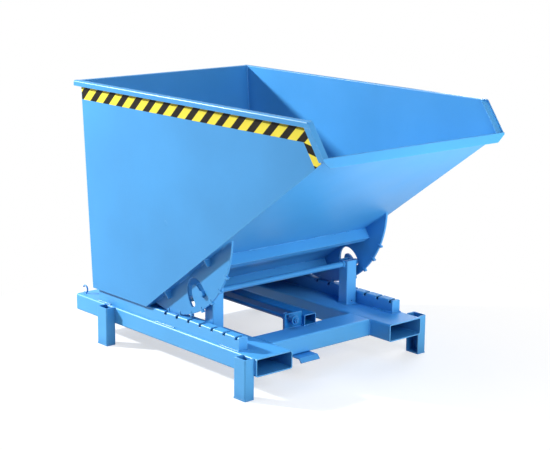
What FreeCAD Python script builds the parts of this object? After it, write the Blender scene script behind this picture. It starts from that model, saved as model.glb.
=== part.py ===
import FreeCAD, Part
import math
import os
from FreeCAD import Vector

# A self-tipping skip on a fork-pocket frame. Millimetres, +Z up, +X towards the pouring lip,
# +Y to the left. The origin is on the floor, under the middle of the whole object.

# Fork pockets and the cross-members between them
fork_tube_width = 200.0
fork_tube_height = 80.0
fork_tube_wall = 5.0
fork_tube_corner = 10.0
fork_tube_length = 1328.0
fork_tube_rear = -873.0
fork_tube_spacing = 780.0
ground_clearance = 100.0
cross_member_width = 130.0
cross_member_wall = 5.0
cross_member_corner = 8.0
front_cross_member_inset = 129.0
rear_cross_member_setback = 34.0
centre_beam_width = 68.0
centre_beam_height = 50.0
centre_beam_wall = 4.0
centre_beam_corner = 6.0
centre_beam_offset = 21.0
centre_beam_front_lap = 26.0
centre_beam_rear_lap = 85.0

# Feet: upright channels, open towards the fork tubes, each on a base plate
foot_length = 75.0
foot_depth = 48.0
foot_wall = 6.0
foot_corner = 6.0
foot_plate = 6.0
front_foot_inset = 14.0
rear_foot_inset = 241.0

# Toothed rolling: rails on the fork tubes, round rockers under the skip
rail_side = 35.0
rail_width = 48.0
rail_height = 60.0
rail_wall = 6.0
rail_corner = 8.0
rail_rear_inset = 26.0
rail_front_margin = 19.3
rolling_gap = 0.3
rocker_radius = 410.0
rocker_thickness = 10.0
roll_axis_x = -153.0
tooth_count = 7
tooth_pitch = 82.0
tooth_start = -29.3
tooth_width = 10.0
tooth_length = 14.0
tooth_projection = 11.0
tooth_root = 14.0
tooth_round = 2.0
tooth_side_clearance = 3.5
tooth_end_clearance = 4.0

# Guide bar that holds the rockers down, and the posts that carry it
guide_bar_x = 64.0
guide_bar_z = 372.0
guide_bar_diameter = 26.0
guide_bar_end = 15.0
guide_slot_clearance = 3.0
guide_slot_lead = -0.012
guide_slot_run = 458.0
guide_slot_points = 15
post_size = 60.0
post_wall = 4.0
post_corner = 6.0
post_spacing = 797.0
post_margin = 18.0
post_hole = 8.0
post_hole_height = 16.0
bush_wall = 3.0
bush_inner_reach = 10.0
bush_outer_gap = 3.5
bush_clearance = 0.05

# Skip body of welded sheet
skip_width = 992.0
skip_rear = -724.0
skip_top = 1210.0
floor_length = 420.0
rear_lean = 68.0
pour_angle = math.radians(35.4)
front_height = 133.25
side_sheet = 4.0
rear_sheet = 4.0
floor_sheet = 5.0
pour_sheet = 5.0
rim_width = 24.0
rim_drop = 25.0
rim_sheet = 4.0
rim_bend = 8.0
wall_top_round = 3.5
flange_return = 26.0
flange_recess = 6.0
flange_lap = 9.0
lip_length = 3.0
lip_drop = 44.0
lip_bend = 3.0
lip_corner_run = 38.0
lip_corner_rise = 31.0
tape_width = 60.0
tape_thickness = 0.4
tape_margin = 2.0
tape_front_inset = 41.0
tape_front_width = 42.0
axis_plug_diameter = 20.0
axis_plug_gap = 0.3

# Stiffening under the pouring plate
beam_depth = 50.0
beam_flange = 40.0
beam_sheet = 6.0
upper_beam_x = 122.0
lower_beam_x = -153.0
gusset_thickness = 8.0
gusset_height = 34.0
gusset_toe = 13.0
gusset_margin = 3.0
upper_gusset_x = 107.0
lower_gusset_x = -172.0

# Release: front trigger, rod, spring and rear latch
rod_offset = -79.0
rod_lift = 42.0
rod_diameter = 14.0
rod_guide_clearance = 0.5
guide_plate = 6.0
guide_plate_setback = 1.0
guide_plate_width = 100.0
guide_plate_margin = 15.0
guide_plate_lug = 10.0
guide_window_width = 15.0
guide_window_height = 18.0
guide_window_margin = 9.0
guide_window_drop = 4.5
rear_guide_setback = 63.0
trigger_sheet = 6.0
trigger_left_reach = 10.0
trigger_right_reach = 97.0
trigger_reach = 62.0
trigger_toe = 16.0
trigger_gap = 0.3
trigger_travel = 25.0
riser_margin = 18.0
riser_stop_gap = 2.0
keeper_setback = 61.0
keeper_length = 30.0
keeper_sheet = 6.0
keeper_gap = 0.5
spring_wire = 5.0
spring_diameter = 33.0
spring_turns = 3.5
spring_length = 30.0
spring_seat_gap = 0.2
spring_samples = 280
washer_diameter = 40.0
washer_thickness = 3.0
nut_width = 22.0
nut_height = 10.0
rod_tip = 6.0
fork_length = 58.0
fork_width = 27.0
fork_height = 24.0
fork_slot_gap = 0.5
fork_slot_depth = 38.0
fork_tail = 14.0
drive_pin_diameter = 10.0
drive_slot_clearance = 1.0
drive_slot_length = 10.0
latch_pivot_setback = 25.0
latch_pivot_z = 140.0
latch_pin_diameter = 16.0
latch_pin_clearance = 0.05
latch_pin_head = 24.0
latch_pin_head_height = 5.0
latch_thickness = 12.0
latch_shank = 24.0
latch_tail = 22.0
latch_nose = 26.0
latch_nose_height = 16.0
latch_side_gap = 1.0
latch_cheek = 8.0
latch_cheek_height = 60.0
latch_cheek_margin = 25.0
catch_width = 60.0
catch_reach = 38.0
catch_thickness = 10.0
catch_height = 22.0
catch_gap = 2.0

# Wire hook for the release rope, on the right fork tube
rope_hook_wire = 8.0
rope_hook_inset = 23.0
rope_hook_side = 35.0
rope_hook_radius = 17.0
rope_hook_foot = 10.0
rope_hook_seat = 0.5
rope_hook_tip = math.radians(150.0)

# How near an edge lies to a face that it belongs to
edge_margin = 0.5

# Places that follow from the sizes above
X_AXIS = Vector(1, 0, 0)
Y_AXIS = Vector(0, 1, 0)
Z_AXIS = Vector(0, 0, 1)
fork_tube_front = fork_tube_rear + fork_tube_length
tube_top = ground_clearance + fork_tube_height
tube_inner = (fork_tube_spacing - fork_tube_width) / 2
tube_outer = (fork_tube_spacing + fork_tube_width) / 2
front_cross_member_front = fork_tube_front - front_cross_member_inset
front_cross_member_rear = front_cross_member_front - cross_member_width
rear_cross_member_rear = skip_rear - rear_cross_member_setback
rear_cross_member_front = rear_cross_member_rear + cross_member_width
centre_beam_side = centre_beam_offset - centre_beam_width / 2
last_tooth = tooth_start + (tooth_count - 1) * tooth_pitch
rail_rear = skip_rear + rail_rear_inset
rail_front = roll_axis_x + last_tooth + rail_front_margin
rail_top = tube_top + rail_height
rail_y = tube_outer - rail_side
skip_bottom = rail_top + rolling_gap
roll_axis_z = skip_bottom + rocker_radius
roll_axis = Vector(roll_axis_x, 0, roll_axis_z)
wall_outer = skip_width / 2
wall_inner = wall_outer - side_sheet
rim_outer = wall_outer + rim_width
rim_bottom = skip_top - rim_drop
web_back = flange_recess + rim_sheet
knee = Vector(skip_rear + floor_length, 0, skip_bottom)
up_slope = Vector(math.cos(pour_angle), 0, math.sin(pour_angle))
off_slope = Vector(math.sin(pour_angle), 0, -math.cos(pour_angle))
lip_front = knee.x + (skip_top - front_height - knee.z) / math.tan(pour_angle)
lean = rear_lean / (skip_top - skip_bottom)
rocker_inner = rail_y - rocker_thickness / 2
rocker_outer = rail_y + rocker_thickness / 2
rod_height = tube_top + rod_lift
spring_seat = front_cross_member_rear + guide_plate_setback + guide_plate
latch_pivot_x = rear_cross_member_rear - latch_pivot_setback
drive_arm = rod_height - latch_pivot_z
latch_angle = trigger_travel / drive_arm
drive_pin_x = latch_pivot_x - trigger_travel


def box(x0, x1, y0, y1, z0, z1):
    return Part.makeBox(x1 - x0, y1 - y0, z1 - z0, Vector(x0, y0, z0))


def rod(diameter, start, direction, length):
    return Part.makeCylinder(diameter / 2, length, start, direction)


def flat(points, y0, y1):
    """A plate with an outline in the XZ plane, from y0 to y1."""
    ring = [Vector(p[0], y0, p[-1]) for p in points]
    face = Part.Face(Part.makePolygon(ring + ring[:1]))
    return face.extrude(Vector(0, y1 - y0, 0))


def along(shape, axis):
    """The straight edges of a shape that run along an axis."""
    return [
        e for e in shape.Edges
        if isinstance(e.Curve, Part.Line) and abs(abs(e.Curve.Direction.dot(axis)) - 1) < 1e-6
    ]


def near(value, place):
    return abs(value - place) < edge_margin


def hollow_section(x0, x1, y0, y1, z0, z1, wall, corner, axis):
    """A rectangular tube along an axis, with rounded corners inside and out."""
    outer = box(x0, x1, y0, y1, z0, z1)
    outer = outer.makeFillet(corner, along(outer, axis))
    dx, dy, dz = (0 if axis[i] else wall for i in range(3))
    inner = box(x0 + dx, x1 - dx, y0 + dy, y1 - dy, z0 + dz, z1 - dz)
    inner = inner.makeFillet(max(corner - wall, corner / 4), along(inner, axis))
    return outer.cut(inner)


def rounded(shape, axis, radius, *place):
    """A shape with its edges along an axis rounded, where they lie at a place in the other two."""
    others = [i for i in range(3) if not axis[i]]
    edges = [e for e in along(shape, axis) if all(near(e.CenterOfMass[i], v) for i, v in zip(others, place))]
    return shape.makeFillet(radius, edges)


def mirrored(shape):
    return shape.mirror(Vector(0, 0, 0), Y_AXIS)


def save(name, *solids):
    shape = solids[0] if len(solids) == 1 else Part.makeCompound(list(solids))
    shape.exportStep(f"parts/{name}.step")


def save_pair(name, left):
    """One node on the left and its mirror image on the right."""
    save(f"{name}_left", left)
    save(f"{name}_right", mirrored(left))


def on_slope(distance, depth=0.0):
    """A point under the pouring plate: a distance up from the knee and a depth off its underside."""
    return knee + up_slope * distance + off_slope * depth


def slope_at(x):
    """How far up the slope from the knee the underside reaches a given X."""
    return (x - knee.x) / up_slope.x


def rear_at(z, inset=0.0):
    """X of the rear wall's outer face at a height, or of a line inset from it."""
    return skip_rear - lean * (z - skip_bottom) + inset * math.sqrt(1 + lean * lean)


front_edge = slope_at(lip_front) - lip_length


def front_at(z, inset=0.0):
    """The side wall's front edge at a height, or a line inset from it, square to the pouring plate."""
    base = on_slope(front_edge - inset)
    rise = (z - base.z) / -off_slope.z
    return base - off_slope * rise


def lip_bottom(inset):
    """Where a line inset from the front edge meets the underside of the pouring plate."""
    return on_slope(front_edge - inset)


def fork_tubes():
    tube = hollow_section(
        fork_tube_rear, fork_tube_front, tube_inner, tube_outer, ground_clearance, tube_top,
        fork_tube_wall, fork_tube_corner, X_AXIS)
    save_pair("fork_tube", tube)


def cross_members():
    for name, rear in (("front", front_cross_member_rear), ("rear", rear_cross_member_rear)):
        member = hollow_section(
            rear, rear + cross_member_width, -tube_inner, tube_inner, ground_clearance, tube_top,
            cross_member_wall, cross_member_corner, Y_AXIS)
        save(f"{name}_cross_member", member)
    beam = hollow_section(
        rear_cross_member_front - centre_beam_rear_lap, front_cross_member_rear + centre_beam_front_lap,
        centre_beam_side, centre_beam_side + centre_beam_width, tube_top, tube_top + centre_beam_height,
        centre_beam_wall, centre_beam_corner, X_AXIS)
    save("centre_beam", beam)


def feet():
    plates = []
    y1 = tube_outer + foot_depth
    front_foot_rear = fork_tube_front - front_foot_inset - foot_length
    for name, rear in (("front", front_foot_rear), ("rear", fork_tube_rear + rear_foot_inset)):
        channel = box(rear, rear + foot_length, tube_outer, y1, foot_plate, tube_top)
        corners = [e for e in along(channel, Z_AXIS) if near(e.CenterOfMass.y, y1)]
        channel = channel.makeFillet(foot_corner, corners)
        channel = channel.cut(box(
            rear + foot_wall, rear + foot_length - foot_wall, tube_outer, y1 - foot_wall,
            foot_plate, tube_top))
        save_pair(f"foot_{name}", channel)
        plate = box(rear, rear + foot_length, tube_outer, y1, 0, foot_plate)
        plates += [plate, mirrored(plate)]
    save("foot_plates", *plates)


def tooth_angles():
    return [(tooth_start + k * tooth_pitch) / rocker_radius for k in range(tooth_count)]


def rails():
    slot_half = tooth_width / 2 + tooth_side_clearance
    y0, y1 = rail_y - rail_width / 2, rail_y + rail_width / 2
    rail = box(rail_rear, rail_front, y0, y1, tube_top, rail_top)
    corners = [e for e in along(rail, X_AXIS) if near(e.CenterOfMass.z, rail_top)]
    rail = rail.makeFillet(rail_corner, corners)
    inner_top = rail_top - rail_wall
    rail = rail.cut(box(rail_rear, rail_front, y0 + rail_wall, y1 - rail_wall, tube_top, inner_top))
    slot_bottom = rail_top - tooth_projection - tooth_end_clearance
    for k in range(tooth_count):
        x = roll_axis_x + tooth_start + k * tooth_pitch
        rail = rail.cut(box(x - slot_half, x + slot_half, y0, y1, slot_bottom, rail_top))
    save_pair("roll_rail", rail)
    ends = []
    for x in (rail_rear, rail_front - rail_wall):
        end = box(x, x + rail_wall, y0 + rail_wall, y1 - rail_wall, tube_top, inner_top)
        ends += [end, mirrored(end)]
    save("rail_end_plates", *ends)


def bar_in_skip(angle):
    """Where the fixed guide bar lies, seen from the skip, when the skip has rolled through an angle."""
    run = guide_bar_x - roll_axis_x - rocker_radius * angle
    drop = guide_bar_z - roll_axis_z
    return roll_axis + Vector(
        run * math.cos(angle) - drop * math.sin(angle), 0, run * math.sin(angle) + drop * math.cos(angle))


def guide_slot(y0, y1):
    """The arched slot that the bar follows, with round ends."""
    half = guide_bar_diameter / 2 + guide_slot_clearance
    travel = guide_slot_run / rocker_radius
    step = (travel - guide_slot_lead) / (guide_slot_points - 1)
    angles = [guide_slot_lead + k * step for k in range(guide_slot_points)]
    centres = [bar_in_skip(a) for a in angles]
    small = step / 100
    ways = [(bar_in_skip(a + small) - bar_in_skip(a - small)).normalize() for a in angles]
    sides = [Y_AXIS.cross(w) for w in ways]
    one = [c + s * half for c, s in zip(centres, sides)]
    two = [c - s * half for c, s in zip(centres, sides)]
    curve_one, curve_two = Part.BSplineCurve(), Part.BSplineCurve()
    curve_one.interpolate(one)
    curve_two.interpolate(two)
    start = Part.Arc(one[0], centres[0] - ways[0] * half, two[0])
    end = Part.Arc(one[-1], centres[-1] + ways[-1] * half, two[-1])
    wire = Part.Wire(Part.__sortEdges__([c.toShape() for c in (curve_one, end, curve_two, start)]))
    face = Part.Face(wire)
    face.translate(Vector(0, y0, 0))
    return face.extrude(Vector(0, y1 - y0, 0))


def tooth(angle):
    block = box(
        roll_axis_x - tooth_width / 2, roll_axis_x + tooth_width / 2,
        rail_y - tooth_length / 2, rail_y + tooth_length / 2,
        skip_bottom - tooth_projection, skip_bottom + tooth_root)
    tips = [e for e in along(block, Y_AXIS) if e.CenterOfMass.z < skip_bottom]
    block = block.makeFillet(tooth_round, tips)
    block.rotate(roll_axis, Y_AXIS, -math.degrees(angle))
    return block


def rockers():
    to_axis = roll_axis - knee
    middle = to_axis.dot(up_slope)
    offset = to_axis.dot(off_slope)
    reach = math.sqrt(rocker_radius ** 2 - offset ** 2)
    low, high = on_slope(middle - reach), on_slope(middle + reach)
    arc = Part.Arc(low, roll_axis + off_slope * rocker_radius, high).toShape()
    face = Part.Face(Part.Wire([arc, Part.makeLine(high, low)]))
    face.translate(Vector(0, rocker_inner, 0))
    rocker = face.extrude(Vector(0, rocker_thickness, 0))
    rocker = rocker.cut(guide_slot(rocker_inner, rocker_outer))
    teeth = [tooth(angle) for angle in tooth_angles()]
    for one in teeth:
        rocker = rocker.cut(one)
    save_pair("rocker", rocker)
    save("rocker_teeth_left", *teeth)
    save("rocker_teeth_right", *[mirrored(one) for one in teeth])


def posts_and_bar():
    y = post_spacing / 2
    half = post_size / 2
    bush_outer = guide_bar_diameter + 2 * (bush_clearance + bush_wall)
    bush_start = Vector(guide_bar_x, y - half - bush_inner_reach, guide_bar_z)
    bush_length = rocker_inner - bush_outer_gap - bush_start.y
    post = hollow_section(
        guide_bar_x - half, guide_bar_x + half, y - half, y + half, tube_top, guide_bar_z + post_margin,
        post_wall, post_corner, Z_AXIS)
    post = post.cut(rod(bush_outer, bush_start, Y_AXIS, bush_length))
    post = post.cut(rod(post_hole, Vector(guide_bar_x, y, tube_top + post_hole_height), X_AXIS, post_size))
    save_pair("post", post)
    bush = rod(bush_outer, bush_start, Y_AXIS, bush_length)
    bush = bush.cut(rod(guide_bar_diameter + 2 * bush_clearance, bush_start, Y_AXIS, bush_length))
    save("bar_bushes", bush, mirrored(bush))
    reach = rocker_outer + guide_bar_end
    save("guide_bar", rod(guide_bar_diameter, Vector(guide_bar_x, -reach, guide_bar_z), Y_AXIS, 2 * reach))


def skip_sheets():
    rear_foot, rear_head = Vector(skip_rear, 0, skip_bottom), Vector(rear_at(skip_top), 0, skip_top)
    front_head, front_foot = front_at(skip_top, web_back), lip_bottom(web_back)
    side = flat([rear_foot, knee, front_foot, front_head, rear_head], wall_inner, wall_outer)
    hole = axis_plug_diameter / 2
    plug_start = Vector(roll_axis_x, wall_inner, roll_axis_z)
    side = side.cut(rod(2 * (hole + axis_plug_gap), plug_start, Y_AXIS, side_sheet))
    side = rounded(side, X_AXIS, wall_top_round, wall_inner, skip_top)
    save_pair("side_wall", side)
    plug = rod(axis_plug_diameter, plug_start, Y_AXIS, side_sheet)
    save("axis_plugs", plug, mirrored(plug))
    floor_z = skip_bottom + floor_sheet
    inner_rear = Vector(rear_at(floor_z, rear_sheet), 0, floor_z)
    inner_knee = on_slope((floor_sheet - pour_sheet * up_slope.x) / up_slope.z, -pour_sheet)
    save("floor_plate", flat([rear_foot, knee, inner_knee, inner_rear], -wall_inner, wall_inner))
    rear_inner_head = Vector(rear_at(skip_top, rear_sheet), 0, skip_top)
    rear = flat([rear_foot, inner_rear, rear_inner_head, rear_head], -wall_inner, wall_inner)
    save("rear_wall", rounded(rear, Y_AXIS, wall_top_round, rear_inner_head.x, skip_top))
    pour = [knee, on_slope(front_edge), on_slope(front_edge, -pour_sheet), inner_knee]
    save("pour_plate", flat(pour, -wall_inner, wall_inner))


def rim_and_lip():
    back = rear_at(skip_top) - rim_width
    under = skip_top - rim_sheet
    top_leg = [(back, under), front_at(under), front_at(skip_top), (back, skip_top)]
    outer_leg = [(back, rim_bottom), front_at(rim_bottom), front_at(skip_top), (back, skip_top)]
    side_rim = flat(top_leg, wall_outer, rim_outer)
    side_rim = side_rim.fuse(flat(outer_leg, rim_outer - rim_sheet, rim_outer)).removeSplitter()
    bend = rim_bend - rim_sheet
    bent = rounded(side_rim, X_AXIS, bend, rim_outer - rim_sheet, under)
    save_pair("rim", rounded(bent, X_AXIS, rim_bend, rim_outer, skip_top))
    top_leg = [(back, under), (rear_at(under), under), (rear_at(skip_top), skip_top), (back, skip_top)]
    rear_rim = flat(top_leg, -wall_outer, wall_outer)
    rear_rim = rear_rim.fuse(box(back, back + rim_sheet, -wall_outer, wall_outer, rim_bottom, under))
    rear_rim = rounded(rear_rim.removeSplitter(), Y_AXIS, bend, back + rim_sheet, under)
    rear_rim = rounded(rear_rim, Y_AXIS, rim_bend, back, skip_top)
    end = box(back, back + rim_sheet, wall_outer, rim_outer - rim_sheet, rim_bottom, skip_top - rim_bend)
    save("rim_rear", rear_rim.fuse(end).fuse(mirrored(end)).removeSplitter())
    front_flanges(bent)
    lip_fold()


def front_flanges(side_rim):
    """A web across the front edge of the side wall, and a leg that runs back from its outer edge."""
    web_head = [front_at(skip_top, web_back), front_at(skip_top, flange_recess)]
    web = web_head + [lip_bottom(flange_recess), lip_bottom(web_back)]
    lap = web_head + [p - off_slope * pour_sheet for p in web[2:]]
    leg = [front_at(skip_top), lip_bottom(0), lip_bottom(flange_return), front_at(skip_top, flange_return)]
    flange = flat(web, wall_inner, rim_outer - rim_sheet)
    flange = flange.fuse(flat(lap, wall_inner - flange_lap, wall_inner))
    flange = flange.fuse(flat(leg, rim_outer - rim_sheet, rim_outer)).removeSplitter()
    save_pair("front_flange", flange.cut(side_rim))


def lip_fold():
    end = slope_at(lip_front)
    top_front = Vector(lip_front, 0, on_slope(end).z + pour_sheet / up_slope.x)
    foot_z = top_front.z - lip_drop
    inside = lip_front - pour_sheet
    lip = flat(
        [lip_bottom(0), on_slope(front_edge, -pour_sheet), top_front, (lip_front, foot_z), (inside, foot_z),
         (inside, on_slope(slope_at(inside)).z)], -rim_outer, rim_outer)
    bend = [
        e for e in along(lip, Y_AXIS)
        if near(e.CenterOfMass.x, top_front.x) and near(e.CenterOfMass.z, top_front.z)]
    lip = lip.makeFillet(lip_bend, bend)
    corner = Vector(lip_front, rim_outer, foot_z)
    cut = [corner, corner - Y_AXIS * lip_corner_run, corner + Z_AXIS * lip_corner_rise, corner]
    wedge = Part.Face(Part.makePolygon(cut)).extrude(X_AXIS * -pour_sheet)
    save("lip_fold", lip.cut(wedge).cut(mirrored(wedge)))


def hazard_tape():
    high = rim_bottom - tape_margin
    low = high - tape_width
    band = tape_front_inset + tape_front_width
    outline = [
        (rear_at(low, tape_margin), low), front_at(low, band), lip_bottom(band) - off_slope * tape_margin,
        lip_bottom(tape_front_inset) - off_slope * tape_margin, front_at(high, tape_front_inset),
        (rear_at(high, tape_margin), high)]
    save_pair("hazard_tape", flat(outline, wall_outer, wall_outer + tape_thickness))


def under_pour_plate():
    for name, x in (("upper", upper_beam_x), ("lower", lower_beam_x)):
        front = slope_at(x)
        outline = [
            on_slope(front), on_slope(front, beam_depth), on_slope(front - beam_flange, beam_depth),
            on_slope(front - beam_flange, beam_depth - beam_sheet),
            on_slope(front - beam_sheet, beam_depth - beam_sheet), on_slope(front - beam_sheet)]
        save(f"{name}_cross_beam", flat(outline, -rocker_inner, rocker_inner))
    gussets = []
    for x in (upper_gusset_x, lower_gusset_x):
        blank = flat(
            [on_slope(slope_at(x)), on_slope(slope_at(x + gusset_thickness)),
             on_slope(slope_at(x + gusset_thickness)) - Z_AXIS * gusset_height,
             on_slope(slope_at(x)) - Z_AXIS * gusset_height], rocker_outer, wall_outer - gusset_margin)
        z = on_slope(slope_at(x)).z
        toe = Vector(x, rocker_outer + gusset_toe, z - gusset_height)
        tip = Vector(x, wall_outer - gusset_margin, z - gusset_margin)
        corner = Vector(x, tip.y, toe.z)
        wedge = Part.Face(Part.makePolygon([toe, tip, corner, toe])).extrude(X_AXIS * gusset_thickness)
        gusset = blank.cut(wedge)
        gussets += [gusset, mirrored(gusset)]
    save("rocker_gussets", *gussets)
    z = skip_bottom + catch_height
    catch = flat(
        [(rear_at(z), z), (rear_at(z + catch_thickness), z + catch_thickness),
         (rear_at(z) - catch_reach, z + catch_thickness), (rear_at(z) - catch_reach, z)],
        rod_offset - catch_width / 2, rod_offset + catch_width / 2)
    save("latch_catch", catch)


def rod_guides():
    """Upright plates that carry the release rod: one on each cross-member."""
    bore = rod_diameter + 2 * rod_guide_clearance
    y = centre_beam_side - guide_plate_width
    top = rod_height + guide_plate_margin
    front_top = top + guide_plate_lug
    x = spring_seat - guide_plate
    front = box(x, spring_seat, y, centre_beam_side, tube_top, front_top)
    front = front.cut(rod(bore, Vector(x, rod_offset, rod_height), X_AXIS, guide_plate))
    window_y = y + guide_window_margin
    window_z = front_top - guide_window_drop - guide_window_height
    front = front.cut(box(
        x, spring_seat, window_y, window_y + guide_window_width, window_z, window_z + guide_window_height))
    save("rod_guide_front", front)
    x = rear_cross_member_rear + rear_guide_setback
    rear = box(x, x + guide_plate, y, centre_beam_side, tube_top, top)
    rear = rear.cut(rod(bore, Vector(x, rod_offset, rod_height), X_AXIS, guide_plate))
    save("rod_guide_rear", rear)


def trigger():
    """A bent plate under the front cross-member, with a riser behind it that carries the rod."""
    top = ground_clearance - trigger_gap
    low = top - trigger_sheet
    left = rod_offset + trigger_left_reach
    right = rod_offset - trigger_right_reach
    rear = front_cross_member_rear - riser_stop_gap - trigger_travel - trigger_sheet
    front = front_cross_member_front + trigger_reach
    bend = front - trigger_toe
    toe_low = low - trigger_toe
    slant = trigger_sheet * (math.sqrt(2) - 1)
    across = trigger_sheet / math.sqrt(2)
    outline = [
        (rear, low), (bend - slant, low), (front - slant - across, toe_low), (front, toe_low + across),
        (bend, top), (rear, top)]
    plate = flat(outline, right, left)
    riser = box(
        rear, rear + trigger_sheet, 2 * rod_offset - left, left, top, rod_height + riser_margin)
    plate = plate.fuse(riser).removeSplitter()
    plate = plate.cut(rod(rod_diameter, Vector(rear, rod_offset, rod_height), X_AXIS, trigger_sheet))
    save("trigger_plate", plate)
    x = front_cross_member_rear + keeper_setback
    under = low - keeper_gap
    strap_right, strap_left = right - keeper_gap, left + keeper_gap
    keeper = box(
        x, x + keeper_length, strap_right - keeper_sheet, strap_left + keeper_sheet, under - keeper_sheet,
        ground_clearance)
    keeper = keeper.cut(box(x, x + keeper_length, strap_right, strap_left, under, ground_clearance))
    save("trigger_keeper", keeper)
    release_rod(rear)


def hex_nut(x):
    centre = Vector(x, rod_offset, rod_height)
    corner = nut_width / math.sqrt(3)
    turns = [k * math.pi / 3 for k in range(7)]
    ring = [centre + Vector(0, math.cos(a), math.sin(a)) * corner for a in turns]
    nut = Part.Face(Part.makePolygon(ring)).extrude(X_AXIS * nut_height)
    return nut.cut(rod(rod_diameter, centre, X_AXIS, nut_height))


def release_rod(riser_rear):
    washer_x = spring_seat + spring_length
    nut_x = washer_x + washer_thickness
    rod_front = nut_x + nut_height + rod_tip
    fork_rear = drive_pin_x - fork_tail
    fork_front = fork_rear + fork_length
    centre = Vector(0, rod_offset, rod_height)
    save("release_rod", rod(rod_diameter, centre + X_AXIS * fork_front, X_AXIS, rod_front - fork_front))
    seat = centre + X_AXIS * washer_x
    washer = rod(washer_diameter, seat, X_AXIS, washer_thickness)
    save("spring_washer", washer.cut(rod(rod_diameter, seat, X_AXIS, washer_thickness)))
    save("rod_nuts", hex_nut(nut_x), hex_nut(riser_rear - nut_height))
    half = fork_width / 2
    fork = box(fork_rear, fork_front, rod_offset - half, rod_offset + half,
               rod_height - fork_height / 2, rod_height + fork_height / 2)
    gap = latch_thickness / 2 + fork_slot_gap
    fork = fork.cut(box(
        fork_rear, fork_rear + fork_slot_depth, rod_offset - gap, rod_offset + gap,
        rod_height - fork_height, rod_height + fork_height))
    pin_start = Vector(drive_pin_x, rod_offset - half, rod_height)
    fork = fork.cut(rod(drive_pin_diameter, pin_start, Y_AXIS, fork_width))
    save("rod_fork", fork)
    save("drive_pin", rod(drive_pin_diameter, pin_start, Y_AXIS, fork_width))


def bend_arcs(p0, t0, p1, t1):
    """Two arcs that leave p0 along t0 and reach p1 along t1."""
    v = p1 - p0
    t = t0 + t1
    a = 2 * (1 - t0.dot(t1))
    b = v.dot(t)
    d = (math.sqrt(b * b + a * v.dot(v)) - b) / a
    q0, q1 = p0 + t0 * d, p1 - t1 * d
    joint = (q0 + q1) * 0.5
    arcs = []
    for start, corner, end in ((p0, q0, joint), (joint, q1, p1)):
        chord = end - start
        foot = (start + end) * 0.5
        turn = (corner - start).getAngle(chord)
        lift = (corner - foot).normalize() * (chord.Length / 2 * math.tan(turn / 2))
        arcs.append(Part.Arc(start, foot + lift, end).toShape())
    return arcs


def return_spring():
    radius = spring_diameter / 2
    first = spring_seat + spring_seat_gap + spring_wire / 2
    rise = spring_length - 2 * spring_seat_gap - spring_wire
    quarters = round(spring_turns * 4)

    def at(turn):
        angle = 2 * math.pi * turn
        return Vector(first + rise * turn / spring_turns, rod_offset + radius * math.cos(angle),
                      rod_height + radius * math.sin(angle))

    def way(turn):
        angle = 2 * math.pi * turn
        around = 2 * math.pi * radius
        return Vector(rise / spring_turns, -around * math.sin(angle), around * math.cos(angle)).normalize()

    edges = []
    for k in range(quarters):
        a, b = spring_turns * k / quarters, spring_turns * (k + 1) / quarters
        edges += bend_arcs(at(a), way(a), at(b), way(b))
    path = Part.Wire(edges)
    ring = Part.Wire(Part.Circle(at(0), way(0), spring_wire / 2).toShape())
    spring = path.makePipeShell([ring], True, False)
    samples = [at(spring_turns * k / spring_samples) for k in range(spring_samples + 1)]
    half_turn = round(spring_samples / spring_turns / 2)
    gap = min(
        (far - one).Length
        for k, one in enumerate(samples) for far in samples[k + half_turn:]) - spring_wire
    print(f"return_spring least gap between turns {gap:.2f} mm, volume {spring.Volume:.0f} mm3")
    save("return_spring", spring)


def latch():
    """A hook behind the rear cross-member, drawn in its released place, swung back from the catch."""
    pivot = Vector(latch_pivot_x, 0, latch_pivot_z)
    half = latch_shank / 2
    nose_z = skip_bottom + catch_height + catch_thickness + catch_gap
    top = nose_z + latch_nose_height
    x = latch_pivot_x
    low = latch_pivot_z - latch_tail
    y0, y1 = rod_offset - latch_thickness / 2, rod_offset + latch_thickness / 2
    hook = flat(
        [(x - half, low), (x + half, low), (x + half, nose_z), (x + half + latch_nose, nose_z),
         (x + half, top), (x - half, top)], y0, y1)
    across = Vector(x, y0, latch_pivot_z)
    bore = latch_pin_diameter + 2 * latch_pin_clearance
    hook = hook.cut(rod(bore, across, Y_AXIS, latch_thickness))
    slot_half = drive_pin_diameter / 2 + drive_slot_clearance
    slot_mid = drive_arm * (1 + 1 / math.cos(latch_angle)) / 2
    slot_low = latch_pivot_z + slot_mid - drive_slot_length / 2
    slot = box(x - slot_half, x + slot_half, y0, y1, slot_low, slot_low + drive_slot_length)
    for z in (slot_low, slot_low + drive_slot_length):
        slot = slot.fuse(rod(2 * slot_half, Vector(x, y0, z), Y_AXIS, latch_thickness))
    hook = hook.cut(slot)
    hook.rotate(pivot, Y_AXIS, -math.degrees(latch_angle))
    save("latch_hook", hook)
    cheeks = []
    gap = latch_thickness / 2 + latch_side_gap
    for y in (rod_offset - gap - latch_cheek, rod_offset + gap):
        cheek = box(
            x - latch_cheek_margin, rear_cross_member_rear, y, y + latch_cheek,
            latch_pivot_z - latch_cheek_height / 2, latch_pivot_z + latch_cheek_height / 2)
        outer = [e for e in along(cheek, Y_AXIS) if e.CenterOfMass.x < x]
        cheek = cheek.makeFillet(latch_cheek_margin / 2, outer)
        cheeks.append(cheek.cut(rod(latch_pin_diameter, Vector(x, y, latch_pivot_z), Y_AXIS, latch_cheek)))
    save("latch_bracket", *cheeks)
    reach = gap + latch_cheek
    pin = rod(latch_pin_diameter, Vector(x, rod_offset - reach, latch_pivot_z), Y_AXIS, 2 * reach)
    for y in (rod_offset - reach - latch_pin_head_height, rod_offset + reach):
        pin = pin.fuse(rod(latch_pin_head, Vector(x, y, latch_pivot_z), Y_AXIS, latch_pin_head_height))
    save("latch_pin", pin.removeSplitter())


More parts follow.
